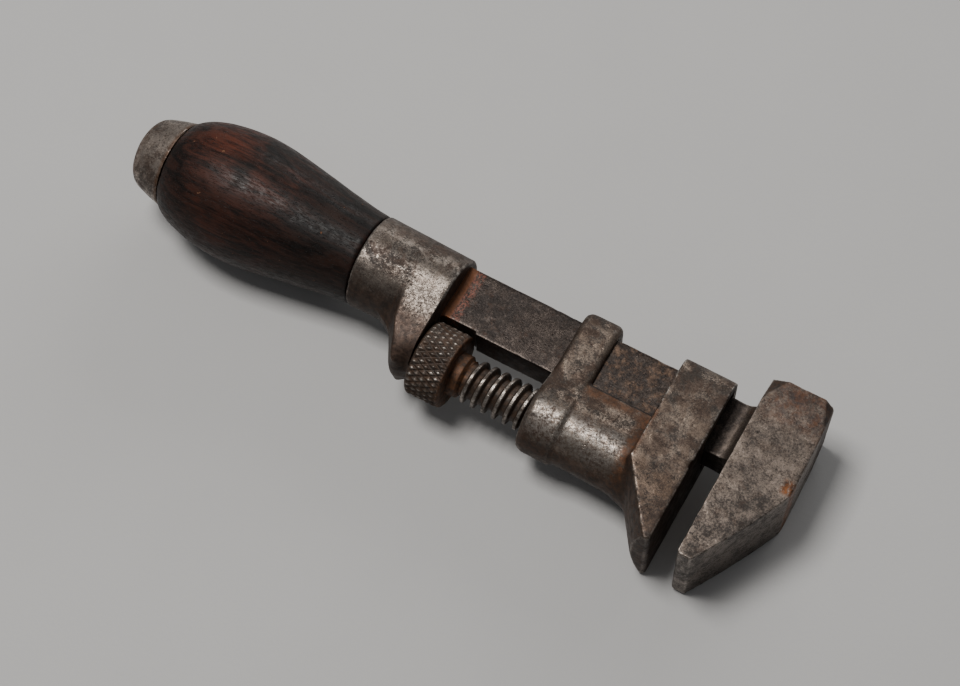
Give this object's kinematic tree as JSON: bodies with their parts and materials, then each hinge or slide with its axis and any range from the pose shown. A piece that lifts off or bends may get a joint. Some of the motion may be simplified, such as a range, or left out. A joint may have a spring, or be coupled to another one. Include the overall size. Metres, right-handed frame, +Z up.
{
  "type": "adjustable wrench",
  "caption": "Screw-adjust monkey wrench with a hammer head, a sliding jaw moved by a knurled thumb ring, and a turned wooden handle.",
  "frame": {"origin": "centre of the underside of the wrench's bounding box, with the wrench lying on its side on the swell of the handle", "axes": "+X along the bar from the handle towards the head, +Y away from the jaws towards the hammer poll, +Z up through the jaws' thickness"},
  "size_m": [0.1524, 0.043, 0.0277],
  "materials": {
    "forged_steel": "worn grey steel with brown patina",
    "cast_steel": "worn brown patina with bright edges",
    "turned_steel": "browned steel with bright crests",
    "ferrule_steel": "speckled bright steel with brown patina",
    "dark_wood": "dark oiled hardwood, semi-gloss from use",
    "cap_iron": "matt mottled grey iron"
  },
  "bodies": {
    "frame": {"bar_and_fixed_jaw": "forged_steel", "step_ferrule": "ferrule_steel", "ferrule_nut": "turned_steel", "handle": "dark_wood", "butt_cap": "cap_iron", "tang_nut": "turned_steel"},
    "jaw": {"sliding_jaw": "cast_steel"},
    "screw": {"adjusting_screw": "turned_steel"}
  },
  "joints": [
    {"name": "jaw_slide", "type": "slide", "parent": "frame", "child": "jaw", "axis": [1, 0, 0], "range_m": [-0.0172, 0.0054]},
    {"name": "screw_spin", "type": "hinge", "parent": "frame", "child": "screw", "pos_m": [0.00185, -0.00557, 0.01388], "axis": [1, 0, 0], "range_deg": [-2600, 830]}
  ],
  "couplings": [
    {"joint": "screw_spin", "follows": "jaw_slide", "rad_per_m": 2618}
  ]
}
